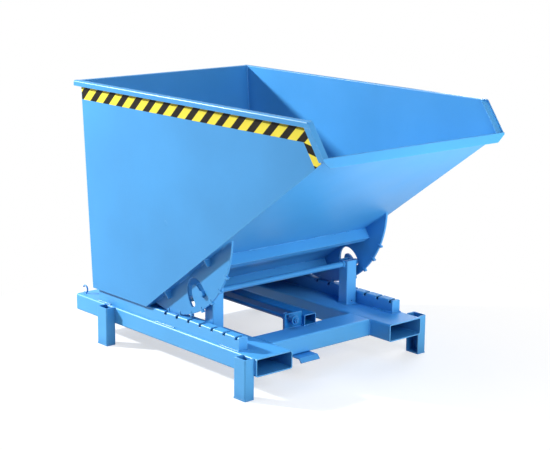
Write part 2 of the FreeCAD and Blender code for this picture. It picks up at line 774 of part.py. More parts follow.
def rope_hook():
    """A wire foot that lies on the tube and curls up, open to the rear."""
    rise = rope_hook_wire / 2 - rope_hook_seat + rope_hook_radius
    x = fork_tube_rear + rope_hook_inset
    y = rope_hook_side - tube_outer
    centre = Vector(x, y, tube_top + rise)
    start = -math.pi / 2
    curl = [
        centre + Vector(math.cos(a), 0, math.sin(a)) * rope_hook_radius
        for a in (start, (start + rope_hook_tip) / 2, rope_hook_tip)]
    toe = curl[0] - X_AXIS * rope_hook_foot
    path = Part.Wire([Part.makeLine(toe, curl[0]), Part.Arc(*curl).toShape()])
    ring = Part.Wire(Part.Circle(toe, X_AXIS, rope_hook_wire / 2).toShape())
    hook = path.makePipeShell([ring], True, False)
    reach = rope_hook_radius + rope_hook_foot
    hook = hook.cut(box(
        x - reach, x + reach, y - reach, y + reach, tube_top - rope_hook_wire, tube_top))
    save("rope_hook", hook)


def main():
    os.makedirs("parts", exist_ok=True)
    fork_tubes()
    cross_members()
    feet()
    rails()
    rockers()
    posts_and_bar()
    skip_sheets()
    rim_and_lip()
    hazard_tape()
    under_pour_plate()
    rod_guides()
    trigger()
    return_spring()
    latch()
    rope_hook()


main()
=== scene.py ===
import math

import bpy
from bpy.props import FloatProperty, FloatVectorProperty, IntProperty, PointerProperty
from mathutils import Matrix, Vector


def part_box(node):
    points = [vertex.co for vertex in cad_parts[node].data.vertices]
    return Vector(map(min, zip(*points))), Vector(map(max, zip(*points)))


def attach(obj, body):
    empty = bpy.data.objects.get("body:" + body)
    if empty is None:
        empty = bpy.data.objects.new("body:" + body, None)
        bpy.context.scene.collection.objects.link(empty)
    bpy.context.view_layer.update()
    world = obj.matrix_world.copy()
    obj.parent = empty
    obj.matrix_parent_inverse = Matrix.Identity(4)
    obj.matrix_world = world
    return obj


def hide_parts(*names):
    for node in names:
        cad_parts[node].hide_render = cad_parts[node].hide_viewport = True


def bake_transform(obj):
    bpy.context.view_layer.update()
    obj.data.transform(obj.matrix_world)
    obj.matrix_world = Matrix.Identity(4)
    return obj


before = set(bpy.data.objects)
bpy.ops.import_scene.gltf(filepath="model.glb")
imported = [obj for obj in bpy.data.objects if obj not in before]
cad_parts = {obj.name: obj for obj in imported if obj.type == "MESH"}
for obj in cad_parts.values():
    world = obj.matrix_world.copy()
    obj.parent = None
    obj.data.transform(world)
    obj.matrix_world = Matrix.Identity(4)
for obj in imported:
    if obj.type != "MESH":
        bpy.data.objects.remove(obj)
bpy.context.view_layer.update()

bl_info = {
    "name": "Tipping skip finish",
    "version": (1, 0, 0),
    "blender": (4, 5, 0),
    "location": "View3D > Sidebar > Skip",
    "description": "Paint, weld beads, hazard tape, return spring and studio for a tipping skip",
    "category": "Object",
}

SIDES = (("left", 1.0), ("right", -1.0))
FORWARD = Vector((1, 0, 0))
ACROSS = Vector((0, 1, 0))
UP = Vector((0, 0, 1))

# CAD nodes that share a finish
SHEET_NODES = (
    "side_wall_left", "side_wall_right", "rear_wall", "floor_plate", "pour_plate", "axis_plugs")
FOLD_NODES = (
    "rim_left", "rim_right", "rim_rear", "front_flange_left", "front_flange_right", "lip_fold",
    "upper_cross_beam", "lower_cross_beam")
ROCKER_NODES = (
    "rocker_left", "rocker_right", "rocker_teeth_left", "rocker_teeth_right", "rocker_gussets",
    "latch_catch")
# The frame's sections take a lighter blue, which is painted light on the low frame
SECTION_NODES = (
    "fork_tube_left", "fork_tube_right", "front_cross_member", "rear_cross_member",
    "roll_rail_left", "roll_rail_right", "rail_end_plates", "post_left", "post_right",
    "foot_front_left", "foot_front_right", "foot_rear_left", "foot_rear_right", "foot_plates")
FITTING_NODES = (
    "bar_bushes", "guide_bar", "trigger_keeper", "latch_bracket", "rope_hook", "trigger_plate",
    "latch_hook")
# The release and the centre beam beside it take a darker blue, which is painted shade under the skip
RELEASE_NODES = (
    "centre_beam", "rod_guide_front", "rod_guide_rear", "release_rod", "rod_fork",
    "spring_washer", "rod_nuts")
PIN_NODES = ("latch_pin", "drive_pin")
CROSS_MEMBERS = ("front_cross_member", "rear_cross_member")

# Camera and lamps. Each lamp that faces the skip: name, setting with its power, place, size.
CAMERA_TARGET = Vector((0.002, 0, 0.599))
SENSOR_WIDTH = 36.0
LAMPS = (
    ("key lamp", "key", (-4.4, -3.4, 3.1), 0.35),
    ("low front lamp", "low_front", (4.6, 0.6, 0.45), 2.0),
    ("high front lamp", "high_front", (4.2, -0.5, 2.6), 2.0),
    ("near lamp", "near", (-0.5, -3.6, 4.0), 2.0),
    ("top lamp", "top", (0.0, 0.0, 5.0), 3.0),
    ("far side lamp", "far_side", (-1.6, 4.4, 2.2), 2.5))
BOARD_PLACE = Vector((1.80, 0.4, 0.03))
BOARD_SIZE = 1.2

# Floor: greys that are seen, grey that lights the skip, glow that is seen, and fade to white
FLOOR_SIZE = 80.0
FLOOR_DARK = (0.52, 0.52, 0.52, 1)
FLOOR_PALE = (0.54, 0.54, 0.54, 1)
FLOOR_BOUNCE = (0.40, 0.40, 0.40, 1)
FLOOR_GLOW = 0.62
FADE_START = 0.7
FADE_END = 1.7

# How like the flat normal a rounded one is where an edge starts, and where it is full
EDGE_LIKENESS = (0.99, 0.80)

# The part of a noise's values that is spread over a finish
NOISE_RANGE = (0.3, 0.7)

# Powder coat: darkest and lightest tone of the drift, fine specks in it, and their range
COAT_DARK = 0.90
COAT_LIGHT = 1.07
SPECK_SHARE = 0.35
SHADE_RANGE = (0.40, 0.95)
# Openness of a full corner, where the painted shade is full, and how patchy the thin coat and painted
# highlight on the edges are
CORNER_OPENNESS = 0.10
PATCH_RANGE = (0.35, 0.65)
PATCH_SHARES = (0.15, 0.8)
# Spread of the roughness, smoother edges, their rounding, and the reflection face on
ROUGHNESS_BELOW = 0.02
ROUGHNESS_ABOVE = 0.03
EDGE_POLISH = 0.10
EDGE_ROUNDING = 0.0016
FACE_SHEEN = 0.34
GRAZING_RANGE = (0.40, 0.75)

# Zinc: dull grains of the spangle, their range, bright edges and their width
ZINC_DULL = 0.72
SPANGLE_RANGE = (0.1, 0.7)
ZINC_BRIGHT = (0.8, 0.81, 0.82, 1.0)
ZINC_EDGE = 0.0012

# Hazard tape: tones of faded stripes, soft part of a stripe's pitch, and half the height in which
# the rim band's stripes give way to the front band's
YELLOW_FADED = 1.06
BLACK_FADED = 1.6
STRIPE_SOFT = 0.012
TAPE_BEND = 0.0002

# Weld ripple: length as a share of its pitch, other sizes as shares of the bead's leg, and lean
RIPPLE_LENGTH = 1.15
RIPPLE_WIDTH = 0.72
RUN_HEIGHT = 0.58
RING_HEIGHT = 0.6
SKIN_VOXEL = 0.17
RIPPLE_LEAN = math.radians(20)

# Fewest ripples of a run and of a ring, merging distance of a ring, and grain of all beads
RUN_LEAST_RIPPLES = 2
RING_LEAST_RIPPLES = 12
RING_MERGE = 0.00001
WELD_GRAIN = 0.007

# The leg that the setting for the ripple's length belongs to; other legs scale it
RIPPLE_LEG = 0.007

# Legs of single joints, as shares of the leg of their group
RAIL_END_LEG = 0.7
MEMBER_LEG = 1.3
FOOT_LEG = 0.7
BUSH_LEG = 0.6
CENTRE_BEAM_LEG = 1.2
RELEASE_LEG = 0.7
ROPE_HOOK_LEG = 0.6

# Stitches start and end at these shares of the joint's length
RAIL_OUTER_STITCHES = ((0.0, 0.09), (0.436, 0.565), (0.882, 1.0))
RAIL_INNER_STITCHES = ((0.0, 0.09), (0.26, 0.37), (0.62, 0.73), (0.882, 1.0))
ROCKER_OUTER_STITCHES = ((0.04, 0.16), (0.33, 0.46), (0.62, 0.75), (0.88, 0.985))
ROCKER_INNER_STITCHES = ((0.05, 0.17), (0.56, 0.68), (0.86, 0.97))
# On the cross-beams the shares count from the middle to either end
BEAM_STITCHES = ((-1.0, -0.72), (-0.56, -0.26), (-0.12, 0.14), (0.30, 0.58), (0.74, 1.0))

# Where single welds lie: sunk by a share of the leg, short of an end by legs or by a share of
# the side, and the rest in metres
MEMBER_SINK = 0.50
FOOT_MARGIN = 1.5
POST_MARGIN = 0.06
SEAM_TOP_MARGIN = 0.012
SEAM_LIP_MARGIN = 0.03
ROPE_HOOK_ASIDE = 0.0035
ROPE_HOOK_START = 0.012
ROPE_HOOK_END = 0.026
CATCH_INSET = 0.001

# Return spring: corners of the wire's section, merging distance and smoothing angle
SPRING_CORNERS = 14
SPRING_MERGE = 0.000001
SPRING_SMOOTH = math.radians(40)


class SkipPaint(bpy.types.PropertyGroup):
    blue: FloatVectorProperty(
        name="Blue", description="Colour of the powder coat on open faces",
        subtype="COLOR", size=4, min=0, max=1, default=(0.064, 0.33, 0.71, 1))
    # Painted light: a lighter copy of the blue that stands in for the extra light on the frame
    lit_frame_blue: FloatVectorProperty(
        name="Frame blue", description="Colour of the frame's own batch of powder coat",
        subtype="COLOR", size=4, min=0, max=1, default=(0.10, 0.43, 0.85, 1))
    # Painted shade: a darker copy of the blue that stands in for the shade under the skip
    shaded_release_blue: FloatVectorProperty(
        name="Release blue", description="Darker coat of the release and the beam beside it",
        subtype="COLOR", size=4, min=0, max=1, default=(0.022, 0.225, 0.55, 1))
    # Painted shade: this darker blue stands in for the shade that falls in corners and hollows
    corner_shade: FloatVectorProperty(
        name="Deep blue", description="Colour of the coat in corners and hollows",
        subtype="COLOR", size=4, min=0, max=1, default=(0.004, 0.15, 0.48, 1))
    # Partly thin coat, partly painted highlight: this paler blue lights up the edges
    edge: FloatVectorProperty(
        name="Edge blue", description="Paler coat where it runs thin along edges",
        subtype="COLOR", size=4, min=0, max=1, default=(0.24, 0.56, 0.93, 1))
    steel: FloatVectorProperty(
        name="Steel", description="Colour of the zinc plated pins",
        subtype="COLOR", size=4, min=0, max=1, default=(0.52, 0.54, 0.56, 1))
    # How far the pale edges reach: thin coat and a painted highlight
    edge_width: FloatProperty(
        name="Edge width", description="How far an edge's thin coat reaches",
        default=0.004, min=0.0, unit="LENGTH")
    # How far the painted shade reaches out of a corner, measured by ambient occlusion
    corner_shade_reach: FloatProperty(
        name="Corner reach", description="How far out of a corner the coat looks deeper",
        default=0.12, min=0.0, unit="LENGTH")


class SkipShape(bpy.types.PropertyGroup):
    pour_angle: FloatProperty(
        name="Pour angle", description="Slope of the pouring plate",
        default=math.radians(35.4), subtype="ANGLE")


class SkipTape(bpy.types.PropertyGroup):
    yellow: FloatVectorProperty(
        name="Yellow", description="Light stripes of the hazard tape",
        subtype="COLOR", size=4, min=0, max=1, default=(0.86, 0.72, 0.07, 1))
    black: FloatVectorProperty(
        name="Black", description="Dark stripes of the hazard tape",
        subtype="COLOR", size=4, min=0, max=1, default=(0.008, 0.006, 0.004, 1))
    pitch: FloatProperty(
        name="Pitch", description="Length of a yellow and a black stripe along the tape",
        default=0.1008, min=0.01, unit="LENGTH")
    yellow_share: FloatProperty(
        name="Yellow share", description="Part of the pitch that is yellow",
        default=0.532, min=0.0, max=1.0, subtype="FACTOR")
    lean: FloatProperty(
        name="Lean", description="How far the stripes lean from upright",
        default=math.radians(45.8), subtype="ANGLE")
    start: FloatProperty(
        name="Start", description="Where a yellow stripe starts at the rim band's lower edge",
        default=-0.772, unit="LENGTH")
    front_start: FloatProperty(
        name="Front start", description="Where a yellow stripe starts on the band along the front edge",
        default=-0.042, unit="LENGTH")
    rim_width: FloatProperty(
        name="Rim width", description="From the rim's lower edge to the rim band's lower edge",
        default=0.062, min=0.0, unit="LENGTH")


class SkipWeld(bpy.types.PropertyGroup):
    ripple: FloatProperty(
        name="Ripple", description="Length of one ripple of a weld bead",
        default=0.0042, min=0.001, unit="LENGTH")
    rail_leg: FloatProperty(
        name="Rail leg", description="Leg of the stitches along the roll rails",
        default=0.010, min=0.002, unit="LENGTH")
    frame_leg: FloatProperty(
        name="Frame leg", description="Leg of the welds in the frame",
        default=0.007, min=0.002, unit="LENGTH")
    sheet_leg: FloatProperty(
        name="Sheet leg", description="Leg of the welds in the skip's sheets",
        default=0.006, min=0.002, unit="LENGTH")
    roughness: FloatProperty(
        name="Unevenness", description="How far a bead's surface departs from even ripples",
        default=0.0012, min=0.0, unit="LENGTH")


class SkipSpring(bpy.types.PropertyGroup):
    wire: FloatProperty(
        name="Wire", description="Diameter of the return spring's wire",
        default=0.005, min=0.001, unit="LENGTH")
    turns: FloatProperty(
        name="Turns", description="Turns of the return spring", default=3.5, min=1.0)
    steps: IntProperty(
        name="Steps", description="Divisions of the spring along its wire", default=168, min=24)


class SkipStage(bpy.types.PropertyGroup):
    azimuth: FloatProperty(
        name="Azimuth", description="Camera's direction round the skip",
        default=math.radians(48.97), subtype="ANGLE")
    elevation: FloatProperty(
        name="Elevation", description="Camera's height above the horizon",
        default=math.radians(12.68), subtype="ANGLE")
    roll: FloatProperty(
        name="Roll", description="Camera's turn about its own axis",
        default=math.radians(0.51), subtype="ANGLE")
    distance: FloatProperty(
        name="Distance", description="From the camera to the middle of the skip",
        default=6.658, min=1.0, unit="LENGTH")
    lens: FloatProperty(
        name="Lens", description="Focal length", default=97.0, min=10.0, unit="CAMERA")
    key: FloatProperty(
        name="Key light", description="Power of the lamp behind and above the near side",
        default=515.0, min=0.0, unit="POWER")
    low_front: FloatProperty(
        name="Low front light", description="Power of the lamp near the floor before the lip",
        default=62.0, min=0.0, unit="POWER")
    high_front: FloatProperty(
        name="High front light", description="Power of the lamp above the lip",
        default=92.0, min=0.0, unit="POWER")
    near: FloatProperty(
        name="Near light", description="Power of the high lamp on the near side",
        default=46.0, min=0.0, unit="POWER")
    top: FloatProperty(
        name="Top light", description="Power of the lamp over the skip",
        default=22.0, min=0.0, unit="POWER")
    far_side: FloatProperty(
        name="Far side light", description="Power of the soft lamp on the far side",
        default=130.0, min=0.0, unit="POWER")
    board: FloatProperty(
        name="Board light", description="Power of the white board on the floor before the lip",
        default=33.0, min=0.0, unit="POWER")
    room: FloatProperty(
        name="Room light", description="Strength of the white room round the skip",
        default=0.02, min=0.0)


def deselect():
    """Object mode with nothing selected."""
    if bpy.context.object and bpy.context.object.mode != "OBJECT":
        bpy.ops.object.mode_set(mode="OBJECT")
    bpy.ops.object.select_all(action="DESELECT")


def pick(piece):
    """Makes a piece the active object and the only one selected."""
    deselect()
    piece.select_set(True)
    bpy.context.view_layer.objects.active = piece


def edit_all():
    """Edit mode with the whole mesh selected."""
    bpy.ops.object.mode_set(mode="EDIT")
    bpy.ops.mesh.select_all(action="SELECT")


def apply_modifier(piece, name):
    bpy.context.view_layer.objects.active = piece
    bpy.ops.object.modifier_apply(modifier=name)


def settle(piece, place):
    """Moves a piece's mesh by a matrix and leaves its object at the origin."""
    pick(piece)
    piece.matrix_world = place
    bpy.ops.object.transform_apply(location=True, rotation=True, scale=True)


def node(tree, kind, inputs=None, **settings):
    """A shader node with its settings, and its inputs as values or as sockets to link."""
    made = tree.nodes.new(kind)
    for key, value in settings.items():
        setattr(made, key, value)
    for socket, value in (inputs or {}).items():
        if isinstance(value, bpy.types.NodeSocket):
            tree.links.new(value, made.inputs[socket])
        else:
            made.inputs[socket].default_value = value
    return made


def math_node(tree, operation, one, two=0.0):
    return node(tree, "ShaderNodeMath", {0: one, 1: two}, operation=operation).outputs[0]


def mix_values(tree, share, one, two):
    return node(tree, "ShaderNodeMix", {0: share, 2: one, 3: two}).outputs[0]


def mix_colours(tree, share, one, two):
    mixed = node(tree, "ShaderNodeMix", {0: share, 6: one, 7: two}, data_type="RGBA")
    return mixed.outputs[2]


def to_range(tree, value, low, high, new_low=0.0, new_high=1.0):
    inputs = {0: value, 1: low, 2: high, 3: new_low, 4: new_high}
    return node(tree, "ShaderNodeMapRange", inputs).outputs[0]


def object_place(tree):
    return node(tree, "ShaderNodeTexCoord").outputs["Object"]


def noise(tree, place, scale, detail):
    inputs = {"Vector": place, "Scale": scale, "Detail": detail}
    return node(tree, "ShaderNodeTexNoise", inputs).outputs[0]


def spread_noise(tree, place, scale, detail, low=0.0, high=1.0):
    """Noise spread between two values."""
    return to_range(tree, noise(tree, place, scale, detail), *NOISE_RANGE, low, high)


def toned(colour, factor):
    """A colour made lighter or darker."""
    return tuple(min(1.0, channel * factor) for channel in colour[:3]) + (1.0,)


def new_material(name):
    material = bpy.data.materials.new(name)
    material.use_nodes = True
    material.node_tree.nodes.clear()
    return material, material.node_tree


def finish_material(tree, shader):
    node(tree, "ShaderNodeOutputMaterial", {"Surface": shader.outputs[0]})


def edge_share(tree, width):
    """0 on open faces, 1 on the edges of a piece."""
    rounded = node(tree, "ShaderNodeBevel", {"Radius": width}, samples=6).outputs[0]
    flat = node(tree, "ShaderNodeNewGeometry").outputs["Normal"]
    likeness = node(tree, "ShaderNodeVectorMath", {0: rounded, 1: flat}, operation="DOT_PRODUCT")
    return to_range(tree, likeness.outputs["Value"], *EDGE_LIKENESS)


def seen_ray(tree):
    """1 for rays that show the background: from the camera, in a reflection or through glass."""
    path = node(tree, "ShaderNodeLightPath")
    seen = math_node(tree, "MAXIMUM", path.outputs["Is Camera Ray"], path.outputs["Is Glossy Ray"])
    return math_node(tree, "MAXIMUM", seen, path.outputs["Is Transmission Ray"])


def blue_paint(name, blue, wave=0.0, peel=0.00010, roughness=0.33, sheen=FACE_SHEEN, open_at=0.75):
    """Powder coat: slow colour drift, painted shade in corners, pale edges of thin coat and painted
    highlight, orange peel and sheet waves.

    wave and peel are bump heights, sheen is the reflection at grazing angles, and open_at is how
    open a face has to be to lose the painted corner shade.
    """
    paint = bpy.context.scene.skip_paint
    material, tree = new_material(name)
    place = object_place(tree)
    drift = noise(tree, place, scale=2.3, detail=4.0)
    speck = noise(tree, place, scale=420.0, detail=2.0)
    shade = math_node(tree, "ADD", math_node(tree, "MULTIPLY", speck, SPECK_SHARE), drift)
    light_share = to_range(tree, shade, *SHADE_RANGE)
    colour = mix_colours(tree, light_share, toned(blue, COAT_DARK), toned(blue, COAT_LIGHT))
    # Painted shade: ambient occlusion mixes the darker blue into corners and hollows
    openness = node(tree, "ShaderNodeAmbientOcclusion", {"Distance": paint.corner_shade_reach}, samples=8)
    open_share = to_range(tree, openness.outputs["AO"], CORNER_OPENNESS, open_at)
    colour = mix_colours(tree, open_share, paint.corner_shade, colour)
    # Pale edges: thin coat on the edges and a painted edge highlight
    edge = edge_share(tree, paint.edge_width)
    patches = noise(tree, place, scale=60.0, detail=4.0)
    thin_coat_and_highlight_share = math_node(
        tree, "MULTIPLY", edge, to_range(tree, patches, *PATCH_RANGE, *PATCH_SHARES))
    colour = mix_colours(tree, thin_coat_and_highlight_share, colour, paint.edge)
    rough = spread_noise(
        tree, place, scale=9.0, detail=5.0,
        low=roughness - ROUGHNESS_BELOW, high=roughness + ROUGHNESS_ABOVE)
    rough = math_node(tree, "SUBTRACT", rough, math_node(tree, "MULTIPLY", edge, EDGE_POLISH))
    soft_edge = node(tree, "ShaderNodeBevel", {"Radius": EDGE_ROUNDING}, samples=8).outputs[0]
    orange_peel = node(tree, "ShaderNodeBump", {
        "Strength": 0.5, "Distance": peel, "Normal": soft_edge,
        "Height": noise(tree, place, scale=260.0, detail=2.0)})
    sheet_wave = node(tree, "ShaderNodeBump", {
        "Strength": 0.6, "Distance": wave, "Normal": orange_peel.outputs[0],
        "Height": noise(tree, place, scale=3.4, detail=1.0)})
    grazing = node(tree, "ShaderNodeLayerWeight", {"Blend": 0.5, "Normal": soft_edge})
    specular = to_range(tree, grazing.outputs["Facing"], *GRAZING_RANGE, FACE_SHEEN, sheen)
    shader = node(tree, "ShaderNodeBsdfPrincipled", {
        "Base Color": colour, "Roughness": rough, "Normal": sheet_wave.outputs[0], "IOR": 1.5,
        "Specular IOR Level": specular})
    finish_material(tree, shader)
    return material


def zinc_steel(name):
    """Plated steel with a spangle, fine turning marks and bright edges."""
    steel = bpy.context.scene.skip_paint.steel
    material, tree = new_material(name)
    place = object_place(tree)
    spangle = node(tree, "ShaderNodeTexVoronoi", {"Vector": place, "Scale": 240.0})
    dull_share = to_range(tree, spangle.outputs["Distance"], *SPANGLE_RANGE)
    colour = mix_colours(tree, dull_share, steel, toned(steel, ZINC_DULL))
    colour = mix_colours(tree, edge_share(tree, ZINC_EDGE), colour, ZINC_BRIGHT)
    rough = spread_noise(tree, place, scale=90.0, detail=4.0, low=0.28, high=0.46)
    turning = node(
        tree, "ShaderNodeTexWave", {"Vector": place, "Scale": 900.0}, bands_direction="Y")
    marks = node(tree, "ShaderNodeBump", {
        "Strength": 0.25, "Distance": 0.0001, "Height": turning.outputs[1]})
    shader = node(tree, "ShaderNodeBsdfPrincipled", {
        "Base Color": colour, "Roughness": rough, "Normal": marks.outputs[0], "Metallic": 1.0})
    finish_material(tree, shader)
    return material


def stripe_share(tree, along, offset):
    """1 on yellow and 0 on black, for a length along the tape that already follows the lean."""
    tape = bpy.context.scene.skip_tape
    turns = math_node(tree, "DIVIDE", math_node(tree, "SUBTRACT", along, offset), tape.pitch)
    part = math_node(tree, "FRACT", turns)
    rise = to_range(tree, part, 0.0, STRIPE_SOFT)
    fall = to_range(tree, part, tape.yellow_share, tape.yellow_share + STRIPE_SOFT, 1.0, 0.0)
    return math_node(tree, "MULTIPLY", rise, fall)


def hazard_tape_material(name, towards_lip):
    """Striped vinyl: one band under the rim and one that turns down along the front edge."""
    tape = bpy.context.scene.skip_tape
    angle = bpy.context.scene.skip_shape.pour_angle
    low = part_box("rim_left")[0].z - tape.rim_width
    material, tree = new_material(name)
    place = object_place(tree)
    parts = node(tree, "ShaderNodeSeparateXYZ", {0: place})
    x = parts.outputs[0]
    z = math_node(tree, "SUBTRACT", parts.outputs[2], low)
    slip = math.tan(tape.lean) * towards_lip
    band = math_node(tree, "SUBTRACT", x, math_node(tree, "MULTIPLY", z, slip))
    down = math_node(
        tree, "SUBTRACT", math_node(tree, "MULTIPLY", x, math.sin(angle)),
        math_node(tree, "MULTIPLY", z, math.cos(angle)))
    aside = math_node(
        tree, "ADD", math_node(tree, "MULTIPLY", x, math.cos(angle)),
        math_node(tree, "MULTIPLY", z, math.sin(angle)))
    turned = math_node(tree, "SUBTRACT", down, math_node(tree, "MULTIPLY", aside, slip))
    on_front = to_range(tree, z, -TAPE_BEND, TAPE_BEND, 1.0, 0.0)
    rim_stripes = stripe_share(tree, band, tape.start)
    front_stripes = stripe_share(tree, turned, tape.front_start)
    stripes = mix_values(tree, on_front, rim_stripes, front_stripes)
    fade = spread_noise(tree, place, scale=14.0, detail=4.0)
    yellow = mix_colours(tree, fade, tape.yellow, toned(tape.yellow, YELLOW_FADED))
    black = mix_colours(tree, fade, tape.black, toned(tape.black, BLACK_FADED))
    rough = spread_noise(tree, place, scale=30.0, detail=3.0, low=0.36, high=0.50)
    ripples = node(tree, "ShaderNodeBump", {
        "Strength": 0.35, "Distance": 0.0006,
        "Height": noise(tree, place, scale=28.0, detail=2.0)})
    shader = node(tree, "ShaderNodeBsdfPrincipled", {
        "Base Color": mix_colours(tree, stripes, black, yellow), "Roughness": rough,
        "Normal": ripples.outputs[0], "Specular IOR Level": 0.12})
    finish_material(tree, shader)
    return material


def coat(nodes, material):
    """Gives CAD nodes one material."""
    for name in nodes:
        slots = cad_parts[name].data.materials
        slots.clear()
        slots.append(material)


def knee():
    """Where the floor plate's underside meets the pouring plate's."""
    low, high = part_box("floor_plate")
    return Vector((high.x, 0, low.z))


def up_slope():
    angle = bpy.context.scene.skip_shape.pour_angle
    return Vector((math.cos(angle), 0, math.sin(angle)))


def off_slope():
    angle = bpy.context.scene.skip_shape.pour_angle
    return Vector((math.sin(angle), 0, -math.cos(angle)))


def on_slope(distance, depth=0.0):
    """A point under the pouring plate: a distance up from the knee, a depth off its underside."""
    return knee() + up_slope() * distance + off_slope() * depth


def slope_to_x(x):
    """How far up the slope from the knee a place in X lies."""
    return (x - knee().x) / up_slope().x


def slope_to_z(z):
    """How far up the slope from the knee a height lies."""
    return (z - knee().z) / up_slope().z


def outer_y(box, side):
    return box[1].y if side > 0 else box[0].y


def inner_y(box, side):
    return box[0].y if side > 0 else box[1].y


def ends(low, high):
    """Both ends of a length, each with the way that it faces."""
    return (low, -1), (high, 1)


def ripple_pitch(leg):
    return bpy.context.scene.skip_weld.ripple * leg / RIPPLE_LEG


def ripple(leg, pitch, height):
    """One ripple of a weld bead in edit mode, lying flat and leaning along X."""
    deselect()
    bpy.ops.mesh.primitive_uv_sphere_add(segments=12, ring_count=8, radius=1.0)
    edit_all()
    bpy.ops.transform.resize(value=(pitch * RIPPLE_LENGTH, leg * RIPPLE_WIDTH, leg * height))
    bpy.ops.transform.rotate(value=RIPPLE_LEAN, orient_axis="Y", center_override=(0, 0, 0))
    return bpy.context.object


def skin(bead, leg):
    """Draws the ripples of a bead together under one surface."""
    pick(bead)
    remesh = bead.modifiers.new("skin", "REMESH")
    remesh.mode = "VOXEL"
    remesh.voxel_size = leg * SKIN_VOXEL
    remesh.use_smooth_shade = True
    apply_modifier(bead, "skin")


def put(bead, place, along, out):
    """Moves a bead's mesh so that its X runs along the joint and its Z points out of it."""
    x = along.normalized()
    z = (out - x * out.dot(x)).normalized()
    turn = Matrix((x, z.cross(x), z)).transposed().to_4x4()
    settle(bead, Matrix.Translation(place) @ turn)


def weld_run(start, end, out, leg, sink=0.0):
    """A straight bead: ripples laid one over the next from start to end."""
    start, end, out = Vector(start), Vector(end), Vector(out).normalized()
    run = end - start
    pitch = ripple_pitch(leg)
    count = max(RUN_LEAST_RIPPLES, round(run.length / pitch))
    bead = ripple(leg, pitch, RUN_HEIGHT)
    bpy.ops.object.mode_set(mode="OBJECT")
    row = bead.modifiers.new("row", "ARRAY")
    row.count = count
    row.use_relative_offset = False
    row.use_constant_offset = True
    row.constant_offset_displace = (run.length / (count - 1), 0, 0)
    apply_modifier(bead, "row")
    skin(bead, leg)
    put(bead, start - out * sink * leg, run, out)
    return bead


def weld_ring(centre, axis, radius, leg):
    """A bead round a bush."""
    pitch = ripple_pitch(leg)
    count = max(RING_LEAST_RIPPLES, round(2 * math.pi * radius / pitch))
    bead = ripple(leg, pitch, RING_HEIGHT)
    bpy.ops.transform.translate(value=(0, radius, 0))
    bpy.ops.mesh.spin(
        steps=count, dupli=True, angle=2 * math.pi, center=(0, 0, 0), axis=(0, 0, 1))
    bpy.ops.mesh.select_all(action="SELECT")
    bpy.ops.mesh.remove_doubles(threshold=RING_MERGE)
    bpy.ops.object.mode_set(mode="OBJECT")
    skin(bead, leg)
    put(bead, Vector(centre), Vector(axis).orthogonal(), Vector(axis))
    return bead


def weld_piece(name, beads, body):
    """Joins beads to one piece, roughens it, paints it and makes it ride on a body."""
    piece = beads[0]
    pick(piece)
    for bead in beads:
        bead.select_set(True)
    if len(beads) > 1:
        bpy.ops.object.join()
    piece.name = piece.data.name = name
    grain = bpy.data.textures.get("weld metal") or bpy.data.textures.new("weld metal", "CLOUDS")
    grain.noise_scale = WELD_GRAIN
    uneven = piece.modifiers.new("uneven", "DISPLACE")
    uneven.texture = grain
    uneven.texture_coords = "GLOBAL"
    uneven.strength = bpy.context.scene.skip_weld.roughness
    uneven.mid_level = 0.5
    apply_modifier(piece, "uneven")
    bpy.ops.object.shade_smooth()
    piece.data.materials.clear()
    piece.data.materials.append(bpy.data.materials.get("weld_paint") or blue_paint(
        "weld_paint", bpy.context.scene.skip_paint.blue, roughness=0.27))
    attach(piece, body)


